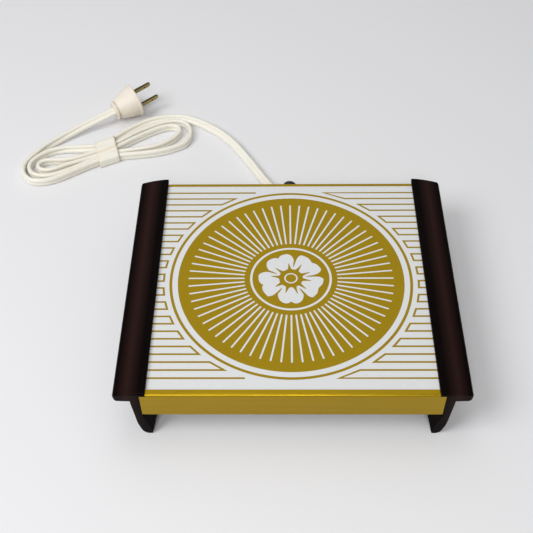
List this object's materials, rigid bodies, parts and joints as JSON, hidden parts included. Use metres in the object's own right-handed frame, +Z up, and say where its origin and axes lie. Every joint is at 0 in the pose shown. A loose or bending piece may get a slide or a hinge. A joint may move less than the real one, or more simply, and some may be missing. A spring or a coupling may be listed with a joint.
{
  "type": "electric warming tray",
  "caption": "Flat heated tray: a white printed glass plate in a gold frame, with a dark moulded handle and foot on each side and a folded cream cord.",
  "frame": {"origin": "on the table under the middle of the tray's body, without the cord", "axes": "+X to the tray's right, +Y to the back where the cord leaves, +Z up"},
  "size_m": [0.3178, 0.3242, 0.0436],
  "materials": {
    "printed_plate": "smooth white glass with a gold print",
    "gold_rail": "gold anodised satin",
    "dark_phenolic": "dark brown moulded phenolic, satin",
    "steel_sheet": "zinc plated",
    "bright_aluminium": "mill finish",
    "mica": "translucent flaky sheet",
    "ribbon_alloy": "oxidised nickel chrome",
    "blanket": "matted mineral wool",
    "ceramic": "glazed steatite",
    "blade_bronze": "phosphor bronze strip",
    "silver_contact": "silver",
    "plated_screw": "zinc plated",
    "glass_sleeve": "varnished glass braid",
    "black_bushing": "black nylon",
    "cream_cord": "soft cream vinyl",
    "paper_band": "cream paper band",
    "cream_plug": "moulded cream vinyl",
    "plug_brass": "flat brass blades"
  },
  "bodies": {
    "tray": {"top_plate": "printed_plate", "front_rail": "gold_rail", "rear_rail": "gold_rail", "left_end_moulding": "dark_phenolic", "right_end_moulding": "dark_phenolic", "bottom_pan": "steel_sheet", "rail_screws": "plated_screw", "end_screws": "plated_screw", "heat_spreader": "bright_aluminium", "upper_mica_sheet": "mica", "heater_ribbon": "ribbon_alloy", "element_terminals": "plated_screw", "heater_card": "mica", "lower_mica_sheet": "mica", "insulation_blanket": "blanket", "pressure_plate": "steel_sheet", "pressure_springs": "steel_sheet", "thermostat_bracket": "steel_sheet", "thermostat_spacers": "ceramic", "thermostat_rivet": "plated_screw", "fixed_blade": "blade_bronze", "bimetal_anchor": "blade_bronze", "fixed_contact": "silver_contact", "adjusting_screw": "plated_screw", "thermostat_screws": "plated_screw", "wire_line": "glass_sleeve", "wire_jumper": "glass_sleeve", "wire_return": "glass_sleeve", "crimp_sleeves": "plated_screw", "strain_relief": "black_bushing", "cord_stub": "cream_cord", "cord_lead": "cream_cord", "cord_hank": "cream_cord", "cord_tie": "paper_band", "cord_tail": "cream_cord", "plug_body": "cream_plug", "plug_blades": "plug_brass"},
    "bimetal": {"bimetal_blade": "blade_bronze", "moving_contact": "silver_contact"}
  },
  "joints": [
    {"name": "bimetal_flex", "type": "hinge", "parent": "tray", "child": "bimetal", "pos_m": [-0.0142, 0.049, 0.0297], "axis": [0, -1, 0], "range_deg": [0, 3], "stiffness_Nm_per_rad": 0.2}
  ]
}
